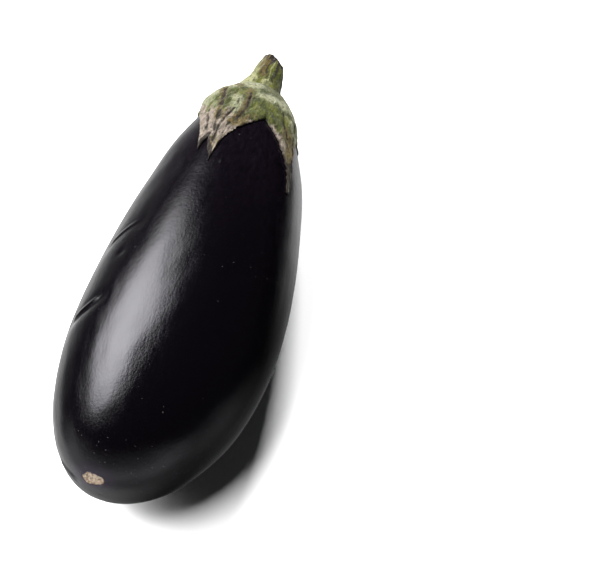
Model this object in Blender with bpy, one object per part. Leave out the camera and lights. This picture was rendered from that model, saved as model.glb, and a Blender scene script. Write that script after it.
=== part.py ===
"""An eggplant that lies on its side: the glossy fruit, its leafy calyx cap and its cut stalk.

The plant frame has +Y along the fruit, from the blossom end to the stalk, and its origin midway.
phi runs along the fruit from the blossom pole, 0, to the shoulder pole, pi. theta runs round it, from +X to
+Z. Lengths are in metres and angles in radians, unless a name says otherwise.
"""

import math
from collections import namedtuple

import bpy
import numpy as np

MM = 0.001

# The fruit: a pear-like turned form, a little out of round, on a gently bent axis.
FRUIT_LENGTH = 197.6 * MM  # before the shoulder is drawn in
FRUIT_WIDTH = 80.0 * MM
FULLNESS = (1.0, 0.285, 0.099, -0.153)  # girth = sin(phi) times this polynomial of cos(phi)
BEND = 5.2 * MM  # sideways sway of the axis
BEND_SKEW = 0.385  # moves the sway's crest to the blossom end
OVAL = (0.010, math.radians(25))  # share of the radius, and where the section is widest
RIB_SWELL = 0.014  # five soft ribs that fade from the shoulder to the belly
FLAT_DEPTH = 1.15 * MM  # how far the belly has flattened under the fruit's own weight
# Under the calyx the skin is drawn in by about the calyx's thickness: depth, the phi where it begins, how soon.
SHOULDER_INSET = (2.0 * MM, math.radians(118), math.radians(24))
SEAT_DEPTH, SEAT_SPREAD = 4.0 * MM, 0.26  # the hollow that the stalk's foot stands in

# Folds in the slack skin: phi and theta at each end in degrees, and depth.
FOLDS = (
    (66.5, 162.0, 69.8, 132.5, 0.6 * MM),
    (83.0, 156.0, 91.0, 131.0, 0.5 * MM),
)
FOLD_HALF_WIDTH = 3.2 * MM

# The blossom scar's dimple.
SCAR_PHI, SCAR_THETA = math.radians(10.8), math.radians(109.5)
SCAR_RADIUS, SCAR_DEPTH = 4.2 * MM, 0.35 * MM

# The calyx: a cap of five pointed lobes that hugs the shoulder.
GAP = 0.3 * MM  # clearance between separate pieces
CAP_THICKNESS = 1.5 * MM
TIP_THICKNESS = 0.8 * MM
COLLAR_HEIGHT, COLLAR_SPREAD = 2.7 * MM, 5.0 * MM  # the flare that rises to the stalk
JOINT_RADIUS = 8.3 * MM
MIDRIB_HEIGHT = 0.6 * MM
EDGE_CURL, EDGE_THICKNESS = 0.3 * MM, 0.7 * MM
# Each lobe, by theta: the notch on its low side and its tip, in degrees, the arc from the shoulder pole to its
# tip, its blunt end's half width, how far its tip lifts, the depth of a split in its end, how much shorter the
# split leaves its high point, and its taper, whose sides are straight at 1 and hollower the larger it is.
Lobe = namedtuple("Lobe", "notch tip reach half_width lift split short taper")
LOBES = (
    Lobe(14, 38, 72.5 * MM, 0.8 * MM, 0.1 * MM, 0.0, 0.0, 2.2),
    Lobe(68, 107, 75.0 * MM, 5.0 * MM, 0.1 * MM, 11.0 * MM, 5.5 * MM, 1.4),
    Lobe(154, 208, 54.0 * MM, 1.0 * MM, 0.0, 0.0, 0.0, 3.2),
    Lobe(220, 252, 66.0 * MM, 1.0 * MM, 0.5 * MM, 0.0, 0.0, 1.8),
    Lobe(290, 314, 61.0 * MM, 2.4 * MM, 0.2 * MM, 6.0 * MM, 1.5 * MM, 3.2),
)
NOTCH_ARC = (34.5 * MM, 40.0 * MM, 34.0 * MM, 34.0 * MM, 36.0 * MM)  # one at each lobe's low-theta side
LOBE_SWELL = 0.04  # how much further a lobe's middle reaches than the notches beside it, where it starts

# The stalk: ribbed, leaning, cut off askew, on a round plug that sits in the calyx's socket.
STALK_LENGTH = 11.3 * MM
STALK_RADIUS = 5.9 * MM  # at the cut; it starts at the joint's radius
STALK_RIB = 0.07
STALK_LEAN = (1.2 * MM, 0.5 * MM)  # how far its end has moved in X and Z
CUT_SLANT = 4.1 * MM
CUT_APEX = math.radians(128)
CUT_SINK = 0.8 * MM
PLUG_RADIUS, PLUG_DEPTH = 5.2 * MM, 2.2 * MM

# Mesh fineness.
FRUIT_ROWS, FRUIT_COLUMNS = 44, 60
LOBE_COLUMNS = 12
CAP_ROWS, LOBE_ROWS = 7, 9
STALK_ROWS = 8

LOBE_COUNT = len(LOBES)
LOBE_MIDDLES = np.radians([lobe.tip for lobe in LOBES])


def smooth(x):
    """0 below 0, 1 above 1, and an S-shaped step between."""
    x = np.clip(x, 0.0, 1.0)
    return x * x * (3 - 2 * x)


def girth(phi):
    """The fruit's plain radius as a share of its unscaled form."""
    c = np.cos(phi)
    return np.sin(phi) * np.polynomial.polynomial.polyval(c, FULLNESS)


GIRTH_PEAK = girth(np.linspace(0.0, math.pi, 2001)).max()


def fold_depth(phi, theta):
    """How far the folds pull the skin in: a smooth trough round the line between each fold's ends."""
    radius = FRUIT_WIDTH / 2 * girth(phi) / GIRTH_PEAK
    along = -FRUIT_LENGTH / 2 * np.cos(phi)
    depth = np.zeros(np.broadcast(phi, theta).shape)
    for phi_a, theta_a, phi_b, theta_b, deep in FOLDS:
        middle = math.radians((theta_a + theta_b) / 2)
        a = np.array([-FRUIT_LENGTH / 2 * math.cos(math.radians(phi_a)), 0.0])
        b = np.array([-FRUIT_LENGTH / 2 * math.cos(math.radians(phi_b)), 0.0])
        half_turn = FRUIT_WIDTH / 2 * math.radians(theta_b - theta_a) / 2
        a[1], b[1] = -half_turn, half_turn
        turn = np.remainder(theta - middle + math.pi, 2 * math.pi) - math.pi
        offset = np.stack(np.broadcast_arrays(along - a[0], radius * turn - a[1]), -1)
        line = b - a
        share = np.clip(offset @ line / (line @ line), 0.0, 1.0)
        distance = np.linalg.norm(offset - share[..., None] * line, axis=-1)
        depth += deep * np.exp(-((distance / FOLD_HALF_WIDTH) ** 2))
    return depth


def full_form(phi, theta):
    """Points of the whole turned form, oval and softly ribbed, on its bent axis, in the plant frame."""
    c = np.cos(phi)
    radius = FRUIT_WIDTH / 2 * girth(phi) / GIRTH_PEAK
    oval, widest = OVAL
    radius = radius * (1 + oval * np.sin(phi) ** 2 * np.cos(2 * (theta - widest)))
    radius = radius * (1 + RIB_SWELL * ((1 - c) / 2) ** 3 * np.sin(phi) * (near_ribs(theta, 0.35) - 0.5))
    sway = BEND * (1 - c**2) * (1 + BEND_SKEW * c)
    along = -FRUIT_LENGTH / 2 * c + 0 * theta
    return np.stack([radius * np.cos(theta) + sway, along, radius * np.sin(theta)], -1)


def near_ribs(theta, width):
    """1 on the middle line of each lobe, falling to 0 on either side over the given angle."""
    turns = np.remainder(np.asarray(theta)[..., None] - LOBE_MIDDLES + math.pi, 2 * math.pi) - math.pi
    return np.exp(-((turns / width) ** 2)).sum(-1)


def outward(phi, theta):
    """The form's outward normal: the cross product of its two tangents, by central differences."""
    step = 1e-4
    phi = np.clip(phi, 0.01, math.pi - 0.01)
    along = full_form(phi + step, theta) - full_form(phi - step, theta)
    around = full_form(phi, theta + step) - full_form(phi, theta - step)
    normal = np.cross(along, around)
    return normal / np.linalg.norm(normal, axis=-1, keepdims=True)


def plain_fruit(phi, theta):
    """Points of the skin before folds and the scar: the full form, drawn in under the calyx and the stalk."""
    depth, begins, width = SHOULDER_INSET
    seat = SEAT_DEPTH * np.exp(-(((math.pi - phi) / SEAT_SPREAD) ** 2))
    inset = seat + depth * smooth((phi - begins) / width)
    return full_form(phi, theta) - (inset + 0 * theta)[..., None] * outward(phi, theta)


def fruit_surface(phi, theta):
    """The finished skin: the plain form, pulled in along its normal by folds and the scar's dimple."""
    points = plain_fruit(phi, theta)
    scar = plain_fruit(np.array(SCAR_PHI), np.array(SCAR_THETA))
    from_scar = np.linalg.norm(points - scar, axis=-1)
    depth = fold_depth(phi, theta) + SCAR_DEPTH * np.exp(-((from_scar / SCAR_RADIUS) ** 2))
    return points - depth[..., None] * outward(phi, theta)


def arc_table():
    """phi against the arc along the plain form's side, measured from the shoulder pole."""
    phi = np.linspace(math.pi, math.pi / 3, 1500)
    radius = FRUIT_WIDTH / 2 * girth(phi) / GIRTH_PEAK
    steps = np.hypot(np.diff(radius), np.diff(-FRUIT_LENGTH / 2 * np.cos(phi)))
    return np.concatenate([[0.0], np.cumsum(steps)]), phi


ARCS, ARC_PHIS = arc_table()


def above_skin(arc, theta, height):
    """Points above the skin by height: along its normal, but along the fruit's axis near the stalk."""
    phi = np.interp(arc, ARCS, ARC_PHIS)
    upright = (1 - smooth((arc - JOINT_RADIUS) / (14 * MM)))[..., None]
    way = (1 - upright) * outward(phi, theta) + upright * np.array([0.0, 1.0, 0.0])
    way = way / np.linalg.norm(way, axis=-1, keepdims=True)
    return plain_fruit(phi, theta) + height[..., None] * way


def lobe_grid(index):
    """One lobe's columns, v from -1 to 1, by rows, from the joint ring to the tip: arc, theta, v, and how far
    out each row lies, 0 to 1 over the cap and 1 to 2 over the free lobe."""
    lobe = LOBES[index]
    high = LOBES[(index + 1) % LOBE_COUNT].notch + (360 if index == LOBE_COUNT - 1 else 0)
    v = np.linspace(-1, 1, LOBE_COLUMNS + 1)
    ring_theta = np.radians(lobe.notch + (high - lobe.notch) * (v + 1) / 2)
    notch = NOTCH_ARC[index] + (NOTCH_ARC[(index + 1) % LOBE_COUNT] - NOTCH_ARC[index]) * (v + 1) / 2
    ring_arc = notch * (1 + LOBE_SWELL * (1 - v**2))
    cap = np.linspace(0, 1, CAP_ROWS + 1)[:, None]
    cap_arc = JOINT_RADIUS + (ring_arc - JOINT_RADIUS) * cap
    cap_theta = ring_theta + 0 * cap

    free = np.linspace(0, 1, LOBE_ROWS + 1)[1:, None]
    tip_radius = FRUIT_WIDTH / 2 * girth(np.interp(lobe.reach, ARCS, ARC_PHIS)) / GIRTH_PEAK
    tip_theta = math.radians(lobe.tip) + v * lobe.half_width / tip_radius
    spread = (1 - free) ** lobe.taper
    theta = spread * ring_theta + (1 - spread) * tip_theta
    points_reach = lobe.reach - lobe.short * smooth((v + 0.2) / 0.4)
    end_arc = points_reach - lobe.split * np.abs(2 * np.abs(v) - 1) ** 1.3
    arc = (1 - free) * ring_arc + free * end_arc
    outness = np.concatenate([cap, 1 + free]) + 0 * v
    return np.concatenate([cap_arc, arc]), np.concatenate([cap_theta, theta]), v + 0 * outness, outness


def calyx_heights(arc, v, outness, lift):
    """Heights over the skin of the calyx's under side and its top."""
    free = np.clip(outness - 1, 0, 1)
    edge = np.abs(v) ** 4 * smooth(free * 2)
    under = GAP + EDGE_CURL * edge * smooth(2 - 2 * free) + lift * free**2
    body = CAP_THICKNESS + (TIP_THICKNESS - CAP_THICKNESS) * smooth(free * 1.3)
    midrib = MIDRIB_HEIGHT * (1 - free**2) * smooth(outness * 2) * np.exp(-((v / 0.2) ** 2))
    collar = COLLAR_HEIGHT * np.exp(-(arc - JOINT_RADIUS) / COLLAR_SPREAD)
    thin = np.abs(v) ** 3 * smooth((outness - 0.7) / 0.5)
    return under, under + (1 - thin) * (body + midrib) + thin * EDGE_THICKNESS + collar


def mesh_object(name, points, faces, material):
    """A smooth-shaded object from points and faces in the plant frame."""
    mesh = bpy.data.meshes.new(name)
    mesh.from_pydata(points.tolist(), [], faces)
    mesh.validate()
    mesh.shade_smooth()
    mesh.set_sharp_from_angle(angle=math.radians(50))
    mesh.materials.append(material)
    node = bpy.data.objects.new(name, mesh)
    bpy.context.scene.collection.objects.link(node)
    return node


def finish(name, colour, roughness):
    material = bpy.data.materials.new(name)
    material.use_nodes = True
    shader = material.node_tree.nodes["Principled BSDF"]
    shader.inputs["Base Color"].default_value = (*colour, 1.0)
    shader.inputs["Roughness"].default_value = roughness
    shader.inputs["Metallic"].default_value = 0.0
    return material


def ring_faces(first, second, closed=True):
    """Quads between two equal rows of point numbers."""
    count = len(first)
    last = count if closed else count - 1
    return [(first[i], first[(i + 1) % count], second[(i + 1) % count], second[i]) for i in range(last)]


def fruit_points():
    """Rings from the blossom pole to the shoulder pole, and a point at each pole."""
    phi = np.linspace(0, math.pi, FRUIT_ROWS + 1)[1:-1]
    theta = np.linspace(0, 2 * math.pi, FRUIT_COLUMNS, endpoint=False)
    rings = fruit_surface(phi[:, None], theta[None, :]).reshape(-1, 3)
    poles = plain_fruit(np.array([0.0, math.pi]), np.array([0.0, 0.0]))
    return np.concatenate([rings, poles])


def fruit_faces():
    rows = np.arange((FRUIT_ROWS - 1) * FRUIT_COLUMNS).reshape(-1, FRUIT_COLUMNS).tolist()
    blossom, shoulder = len(rows) * FRUIT_COLUMNS, len(rows) * FRUIT_COLUMNS + 1
    faces = []
    for low, high in zip(rows, rows[1:]):
        faces += ring_faces(high, low)
    for i in range(FRUIT_COLUMNS):
        following = (i + 1) % FRUIT_COLUMNS
        faces.append((blossom, rows[0][i], rows[0][following]))
        faces.append((shoulder, rows[-1][following], rows[-1][i]))
    return faces


def flattened(points, pitch, floor):
    """The points, with all that lies under the floor pressed up to it. Pitching the fruit makes it level."""
    up = np.array([0.0, math.sin(pitch), math.cos(pitch)])
    under = np.maximum(floor - points @ up, 0.0)
    return points + under[:, None] * up


def volume_centre(points, faces):
    """Volume and centroid of a closed mesh, from the tetrahedra that its triangles make with the origin."""
    corners = [(f[0], f[i], f[i + 1]) for f in faces for i in range(1, len(f) - 1)]
    a, b, c = (points[np.array(corners)[:, i]] for i in range(3))
    volumes = np.einsum("ij,ij->i", a, np.cross(b, c)) / 6
    return volumes.sum(), ((a + b + c) / 4 * volumes[:, None]).sum(0) / volumes.sum()


def resting_pitch(centre):
    """The tilt about X that puts the lowest point of the under side straight below the centre of mass."""
    phi = np.linspace(0.2, math.pi - 0.2, 4000)
    side = plain_fruit(phi, np.full_like(phi, -math.pi / 2))
    low, high = math.radians(-20), math.radians(10)
    for _ in range(40):
        pitch = (low + high) / 2
        contact = side[np.argmin(side[:, 1] * math.sin(pitch) + side[:, 2] * math.cos(pitch))]
        ahead = (centre - contact) @ np.array([0.0, math.cos(pitch), -math.sin(pitch)])
        low, high = (low, pitch) if ahead > 0 else (pitch, high)
    return (low + high) / 2


def make_calyx(material):
    """A top and an under skin that meet at the lobes' edges. The top ends in the socket's rim and well."""
    points, faces, top_rows, under_rows = [], [], [], []

    def add(new):
        start = sum(len(p) for p in points)
        points.append(np.asarray(new, float).reshape(-1, 3))
        return list(range(start, start + len(points[-1])))

    for index, lobe in enumerate(LOBES):
        arc, theta, v, outness = lobe_grid(index)
        under_height, top_height = calyx_heights(arc, v, outness, lobe.lift)
        for rows, height in ((top_rows, top_height), (under_rows, under_height)):
            grid = above_skin(arc, theta, height)
            numbers = [add(row) for row in grid]
            rows.append(numbers)
    # Over the cap a lobe's last column is its neighbour's first.
    for index in range(LOBE_COUNT):
        following = (index + 1) % LOBE_COUNT
        for row in range(CAP_ROWS + 1):
            for rows in (top_rows, under_rows):
                rows[index][row][-1] = rows[following][row][0]
    for index in range(LOBE_COUNT):
        top, under = top_rows[index], under_rows[index]
        for row in range(len(top) - 1):
            faces += ring_faces(top[row], top[row + 1], closed=False)
            faces += ring_faces(under[row + 1], under[row], closed=False)
        for row in range(CAP_ROWS, len(top) - 1):
            faces.append((top[row][0], top[row + 1][0], under[row + 1][0], under[row][0]))
            faces.append((top[row + 1][-1], top[row][-1], under[row][-1], under[row + 1][-1]))
        faces += ring_faces(top[-1], under[-1], closed=False)

    rim = [n for index in range(LOBE_COUNT) for n in top_rows[index][0][:-1]]
    inner = [n for index in range(LOBE_COUNT) for n in under_rows[index][0][:-1]]
    theta = np.concatenate([lobe_grid(i)[1][0][:-1] for i in range(LOBE_COUNT)])
    level = joint_level()
    socket = PLUG_RADIUS + GAP
    ring = np.stack([socket * np.cos(theta), np.full_like(theta, level), socket * np.sin(theta)], -1)
    mouth = add(ring)
    floor = add(ring - np.array([0.0, PLUG_DEPTH + GAP, 0.0]))
    floor_centre = add([[0.0, level - PLUG_DEPTH - GAP, 0.0]])[0]
    ceiling = add(above_skin(np.full_like(theta, JOINT_RADIUS / 2), theta, np.full_like(theta, GAP)))
    pole_centre = add(plain_fruit(math.pi, 0.0) + np.array([0.0, GAP, 0.0]))[0]
    faces += ring_faces(inner, ceiling)
    faces += ring_faces(mouth, rim)
    faces += ring_faces(floor, mouth)
    for i in range(len(rim)):
        following = (i + 1) % len(rim)
        faces.append((floor_centre, floor[following], floor[i]))
        faces.append((pole_centre, ceiling[i], ceiling[following]))
    points = np.concatenate(points)
    for number in rim:
        points[number, 1] = level
    used = sorted({n for f in faces for n in f})
    renumber = {n: i for i, n in enumerate(used)}
    return mesh_object("calyx", points[used], [tuple(renumber[n] for n in f) for f in faces], material)


def joint_level():
    """The height, along Y, of the flat ring where the stalk stands on the calyx."""
    phi = np.interp(JOINT_RADIUS, ARCS, ARC_PHIS)
    return plain_fruit(phi, 0.0)[1] + GAP + CAP_THICKNESS + COLLAR_HEIGHT


def make_stalk(material):
    """Rings up the leaning stalk, from the plug's foot to the slanting cut."""
    theta = np.concatenate([lobe_grid(i)[1][0][:-1] for i in range(LOBE_COUNT)])
    base = joint_level() + GAP
    rings = []
    plug = np.stack([PLUG_RADIUS * np.cos(theta), 0 * theta, PLUG_RADIUS * np.sin(theta)], -1)
    rings.append(plug + np.array([0.0, base - PLUG_DEPTH, 0.0]))
    rings.append(plug + np.array([0.0, base, 0.0]))
    phi = np.interp(JOINT_RADIUS, ARCS, ARC_PHIS)
    foot_radius = FRUIT_WIDTH / 2 * girth(phi) / GIRTH_PEAK
    for share in np.linspace(0, 1, STALK_ROWS + 1):
        radius = foot_radius + (STALK_RADIUS - foot_radius) * (0.25 * smooth(share * 2) + 0.75 * share)
        ribbed = radius * (1 + STALK_RIB * (near_ribs(theta, 0.3) - 0.45) * smooth(share * 4))
        rise = share * (STALK_LENGTH + CUT_SLANT * np.cos(theta - CUT_APEX))
        lean_x, lean_z = (lean * share**2 for lean in STALK_LEAN)
        x, z = ribbed * np.cos(theta) + lean_x, ribbed * np.sin(theta) + lean_z
        rings.append(np.stack([x, base + rise, z], -1))
    points = np.concatenate(rings)
    count = len(theta)
    rows = np.arange(len(points)).reshape(-1, count).tolist()
    faces = []
    for low, high in zip(rows, rows[1:]):
        faces += ring_faces(high, low)
    foot_centre, cut_centre = len(points), len(points) + 1
    cut_middle = rings[-1].mean(0) - np.array([0.0, CUT_SINK, 0.0])
    points = np.concatenate([points, [rings[0].mean(0)], [cut_middle]])
    for i in range(count):
        following = (i + 1) % count
        faces.append((foot_centre, rows[0][i], rows[0][following]))
        faces.append((cut_centre, rows[-1][following], rows[-1][i]))
    return mesh_object("stalk", points, faces, material)


def clear_scene():
    for old in list(bpy.data.objects):
        bpy.data.objects.remove(old)


def main():
    clear_scene()
    skin = finish("eggplant_skin", (0.010, 0.006, 0.013), 0.22)
    leaf = finish("calyx_leaf", (0.20, 0.22, 0.09), 0.7)
    stem = finish("stalk_bark", (0.26, 0.28, 0.10), 0.75)

    points, faces = fruit_points(), fruit_faces()
    _, centre = volume_centre(points, faces)
    pitch = resting_pitch(centre)
    up = np.array([0.0, math.sin(pitch), math.cos(pitch)])
    floor = (points @ up).min() + FLAT_DEPTH
    fruit = mesh_object("fruit", flattened(points, pitch, floor), faces, skin)
    calyx = make_calyx(leaf)
    stalk = make_stalk(stem)

    lying = bpy.data.objects.new("lying", None)
    bpy.context.scene.collection.objects.link(lying)
    for node in (fruit, calyx, stalk):
        node.parent = lying
    lying.rotation_euler.x = pitch
    bpy.context.view_layer.update()
    nodes = (fruit, calyx, stalk)
    corners = np.array([lying.matrix_world @ v.co for node in nodes for v in node.data.vertices])
    middle = (corners.min(0) + corners.max(0)) / 2
    lying.location = (-middle[0], -middle[1], -corners[:, 2].min())
    bpy.context.view_layer.update()


main()
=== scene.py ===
"""Dresses the eggplant: its waxy skin, its drying calyx and its ribbed stalk, each worked out as one surface.

The plant frame has +Y along the fruit, from the blossom end to the stalk, and its origin midway. phi runs
along the fruit from the blossom pole, 0, to the shoulder pole, pi, and theta runs round it, from +X to +Z.
lie_down() tilts that frame to how the fruit rests. Lengths are in metres.
"""

import math
from collections import namedtuple
from math import radians

import bmesh
import bpy
import numpy as np
from bpy.props import FloatProperty, FloatVectorProperty, PointerProperty
from mathutils import Matrix, Vector


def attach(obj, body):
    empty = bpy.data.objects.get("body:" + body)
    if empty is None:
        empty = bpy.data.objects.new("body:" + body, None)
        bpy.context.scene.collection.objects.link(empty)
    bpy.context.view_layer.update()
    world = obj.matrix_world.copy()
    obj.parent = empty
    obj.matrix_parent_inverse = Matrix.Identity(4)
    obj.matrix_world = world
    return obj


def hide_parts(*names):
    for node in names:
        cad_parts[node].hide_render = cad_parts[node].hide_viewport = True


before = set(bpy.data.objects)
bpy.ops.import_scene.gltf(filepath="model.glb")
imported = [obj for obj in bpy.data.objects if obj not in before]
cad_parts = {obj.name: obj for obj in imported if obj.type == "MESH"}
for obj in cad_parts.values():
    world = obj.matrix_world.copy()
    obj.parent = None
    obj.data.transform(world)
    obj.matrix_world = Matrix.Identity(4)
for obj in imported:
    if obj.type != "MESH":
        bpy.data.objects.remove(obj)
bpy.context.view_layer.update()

bl_info = {
    "name": "Eggplant",
    "version": (1, 0, 0),
    "blender": (4, 5, 0),
    "location": "3D View > Sidebar > Eggplant",
    "description": "Builds a glossy eggplant with its calyx and stalk, and a plain studio",
    "category": "Object",
}

MM = 0.001

# How the plant frame lies on the floor.
LYING_PITCH = -0.0883693
LYING_PLACE = (-0.0053107, -0.0073728, 0.0369455)

# The fruit's form.
FULLNESS = (1.0, 0.285, 0.099, -0.153)
BEND_SKEW = 0.385
OVAL, OVAL_TURN = 0.010, radians(25)
RIB_SWELL = 0.014
SHOULDER_INSET, INSET_BEGINS, INSET_WIDTH = 2.0 * MM, radians(118), radians(24)
SEAT_DEPTH, SEAT_SPREAD = 4.0 * MM, 0.26

# Folds: phi and theta at each end in degrees, how far the line bows, and the heights of the trough, the cut
# and the lip.
FOLDS = (
    (65.9, 160.0, 70.2, 131.5, 1.0 * MM, -0.50 * MM, -0.33 * MM, 0.52 * MM),
    (86.0, 152.0, 91.5, 129.0, -0.8 * MM, -0.18 * MM, -0.08 * MM, 0.30 * MM),
    (24.0, 178.0, 10.0, 174.0, 0.0 * MM, -0.16 * MM, -0.45 * MM, 0.50 * MM),
)
FOLD_HALF_WIDTH, CUT_HALF_WIDTH = 3.2 * MM, 0.60 * MM
LIP_OFFSET, LIP_HALF_WIDTH = 1.4 * MM, 0.85 * MM

# The corky scar, an oval round its middle, which lies near the blossom pole.
SCAR_PHI, SCAR_THETA, SCAR_RADIUS = radians(10.8), radians(109.5), 4.1 * MM

# The calyx's lobes: theta of the notch on the low side and of the tip, in degrees, the arc from the shoulder
# pole to the tip, the blunt end's half width, how far the tip lifts, the depth of a split in the end, how
# much shorter the split leaves its high point, and the taper.
Lobe = namedtuple("Lobe", "notch tip reach half_width lift split short taper")
LOBES = (
    Lobe(14, 38, 72.5 * MM, 0.8 * MM, 0.1 * MM, 0.0, 0.0, 2.2),
    Lobe(68, 107, 75.0 * MM, 5.0 * MM, 0.1 * MM, 11.0 * MM, 5.5 * MM, 1.4),
    Lobe(154, 208, 54.0 * MM, 1.0 * MM, 0.0, 0.0, 0.0, 3.2),
    Lobe(220, 252, 66.0 * MM, 1.0 * MM, 0.5 * MM, 0.0, 0.0, 1.8),
    Lobe(290, 310, 58.0 * MM, 2.4 * MM, 0.2 * MM, 6.0 * MM, 1.5 * MM, 3.6),
)
NOTCH_ARC = (34.5 * MM, 40.0 * MM, 34.0 * MM, 34.0 * MM, 36.0 * MM)
LOBE_SWELL = 0.04
COLLAR_HEIGHT, COLLAR_SPREAD = 2.7 * MM, 5.0 * MM
JOINT_RADIUS = 8.3 * MM
LOBE_MIDDLES = np.radians([lobe.tip for lobe in LOBES])


# ---- formulas


def smooth(x):
    """0 below 0, 1 above 1, and the S-curve 3x^2 - 2x^3 between."""
    x = np.clip(x, 0.0, 1.0)
    return x * x * (3 - 2 * x)


def bell(x, width):
    """1 at 0, falling off as exp(-(x/width)^2)."""
    return np.exp(-((x / width) ** 2))


def turned(theta, middle):
    """The signed angle from middle to theta, between -pi and pi."""
    return np.remainder(theta - middle + math.pi, 2 * math.pi) - math.pi


def wander(points, seed, wavelength, waves=24):
    """A smooth random field of about -1 to 1: the mean of plane waves in random directions, with wavelengths
    within a third of the given one, scaled up by the root of their count."""
    rng = np.random.default_rng(seed)
    ways = rng.normal(size=(waves, 3))
    ways /= np.linalg.norm(ways, axis=1, keepdims=True)
    rates = 2 * math.pi / (wavelength * rng.uniform(0.7, 1.35, waves))
    phases = rng.uniform(0, 2 * math.pi, waves)
    return np.sin(points @ (ways * rates[:, None]).T + phases).sum(-1) / math.sqrt(waves) * 0.9


def girth(phi):
    """sin(phi) times a cubic in cos(phi)."""
    return np.sin(phi) * np.polynomial.polynomial.polyval(np.cos(phi), FULLNESS)


GIRTH_PEAK = girth(np.linspace(0.0, math.pi, 2001)).max()


class Form:
    """The fruit's sizes, and the skin as a function of phi and theta."""

    def __init__(self, length, width, bend):
        self.length, self.width, self.bend = length, width, bend
        phi = np.linspace(math.pi, math.pi / 3, 1500)
        steps = np.hypot(np.diff(self.radius(phi)), np.diff(-length / 2 * np.cos(phi)))
        self.arcs, self.arc_phis = np.concatenate([[0.0], np.cumsum(steps)]), phi

    def radius(self, phi):
        return self.width / 2 * girth(phi) / GIRTH_PEAK

    def full(self, phi, theta):
        """A turned form, 1% oval, with five soft ribs that fade from the shoulder, on an axis that sways as
        (1 - c^2)(1 + k c), where c is cos(phi)."""
        c = np.cos(phi)
        radius = self.radius(phi) * (1 + OVAL * np.sin(phi) ** 2 * np.cos(2 * (theta - OVAL_TURN)))
        ribs = sum(bell(turned(theta, middle), 0.35) for middle in LOBE_MIDDLES)
        radius = radius * (1 + RIB_SWELL * ((1 - c) / 2) ** 3 * np.sin(phi) * (ribs - 0.5))
        sway = self.bend * (1 - c**2) * (1 + BEND_SKEW * c)
        along = -self.length / 2 * c + 0 * theta
        return np.stack([radius * np.cos(theta) + sway, along, radius * np.sin(theta)], -1)

    def outward(self, phi, theta):
        """The unit cross product of the full form's two tangents, by central differences."""
        step = 1e-4
        phi = np.clip(phi, 0.01, math.pi - 0.01)
        along = self.full(phi + step, theta) - self.full(phi - step, theta)
        around = self.full(phi, theta + step) - self.full(phi, theta - step)
        normal = np.cross(along, around)
        return normal / np.linalg.norm(normal, axis=-1, keepdims=True)

    def skin(self, phi, theta):
        """The full form, drawn in under the calyx by a smooth step and under the stalk by a bell."""
        seat = SEAT_DEPTH * bell(math.pi - phi, SEAT_SPREAD)
        inset = seat + SHOULDER_INSET * smooth((phi - INSET_BEGINS) / INSET_WIDTH)
        return self.full(phi, theta) - (inset + 0 * theta)[..., None] * self.outward(phi, theta)

    def above(self, arc, theta, height):
        """The skin moved by height along its normal, which turns into the fruit's axis near the stalk."""
        phi = np.interp(arc, self.arcs, self.arc_phis)
        upright = (1 - smooth((arc - JOINT_RADIUS) / (14 * MM)))[..., None]
        way = (1 - upright) * self.outward(phi, theta) + upright * np.array([0.0, 1.0, 0.0])
        way = way / np.linalg.norm(way, axis=-1, keepdims=True)
        return self.skin(phi, theta) + height[..., None] * way

    def fold_relief(self, phi, theta):
        """Along each fold's bowed line: a broad trough, a narrow cut, and a lip beside the cut. Returns the
        relief and how near the cut is."""
        shape = np.broadcast(phi, theta).shape
        relief, cut = np.zeros(shape), np.zeros(shape)
        along = -self.length / 2 * np.cos(phi)
        for phi_a, theta_a, phi_b, theta_b, bow, trough, slit, lip in FOLDS:
            middle = radians((theta_a + theta_b) / 2)
            half_turn = self.width / 2 * radians(theta_b - theta_a) / 2
            start, stop = (-self.length / 2 * math.cos(radians(end)) for end in (phi_a, phi_b))
            origin, line = np.array([start, -half_turn]), np.array([stop - start, 2 * half_turn])
            here = np.stack(np.broadcast_arrays(along, self.radius(phi) * turned(theta, middle)), -1) - origin
            reach = np.linalg.norm(line)
            share = here @ line / reach**2
            side = (here[..., 0] * line[1] - here[..., 1] * line[0]) / reach
            side = side - bow * np.clip(4 * share * (1 - share), 0, 1)
            near = np.hypot(side, np.maximum(np.abs(share - 0.5) - 0.5, 0) * reach)
            ends_fade = smooth(share / 0.25) * smooth((1 - share) / 0.22)
            sharp = bell(side, CUT_HALF_WIDTH) * ends_fade
            relief += trough * bell(near, FOLD_HALF_WIDTH) + slit * sharp
            relief += lip * bell(side + LIP_OFFSET, LIP_HALF_WIDTH) * ends_fade
            cut += sharp
        return relief, cut


def lie_down(points):
    """Turns the plant frame's points by the lying pitch about X, and moves them to their place."""
    c, s = math.cos(LYING_PITCH), math.sin(LYING_PITCH)
    x, y, z = points[..., 0], points[..., 1], points[..., 2]
    return np.stack([x, y * c - z * s, y * s + z * c], -1) + np.array(LYING_PLACE)


# ---- meshes


def grid_faces(rows, columns, closed, flip=False):
    """Quads of a grid of point numbers, row by row. A closed grid joins its last column to its first."""
    number = np.arange(rows * columns).reshape(rows, columns)
    right = np.roll(number, -1, axis=1)
    if not closed:
        number, right = number[:, :-1], right[:, :-1]
    quads = np.stack([number[:-1], right[:-1], right[1:], number[1:]], -1).reshape(-1, 4)
    return quads[:, ::-1] if flip else quads


def wall_faces(upper, lower):
    """Quads between a row of point numbers and the row below it."""
    return np.stack([upper[:-1], upper[1:], lower[1:], lower[:-1]], -1)


def fan_faces(ring, centre, flip=False):
    """Triangles from a ring of point numbers to one centre."""
    fan = np.stack([ring, np.roll(ring, -1), np.full(len(ring), centre)], -1)
    return fan[:, ::-1] if flip else fan


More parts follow.
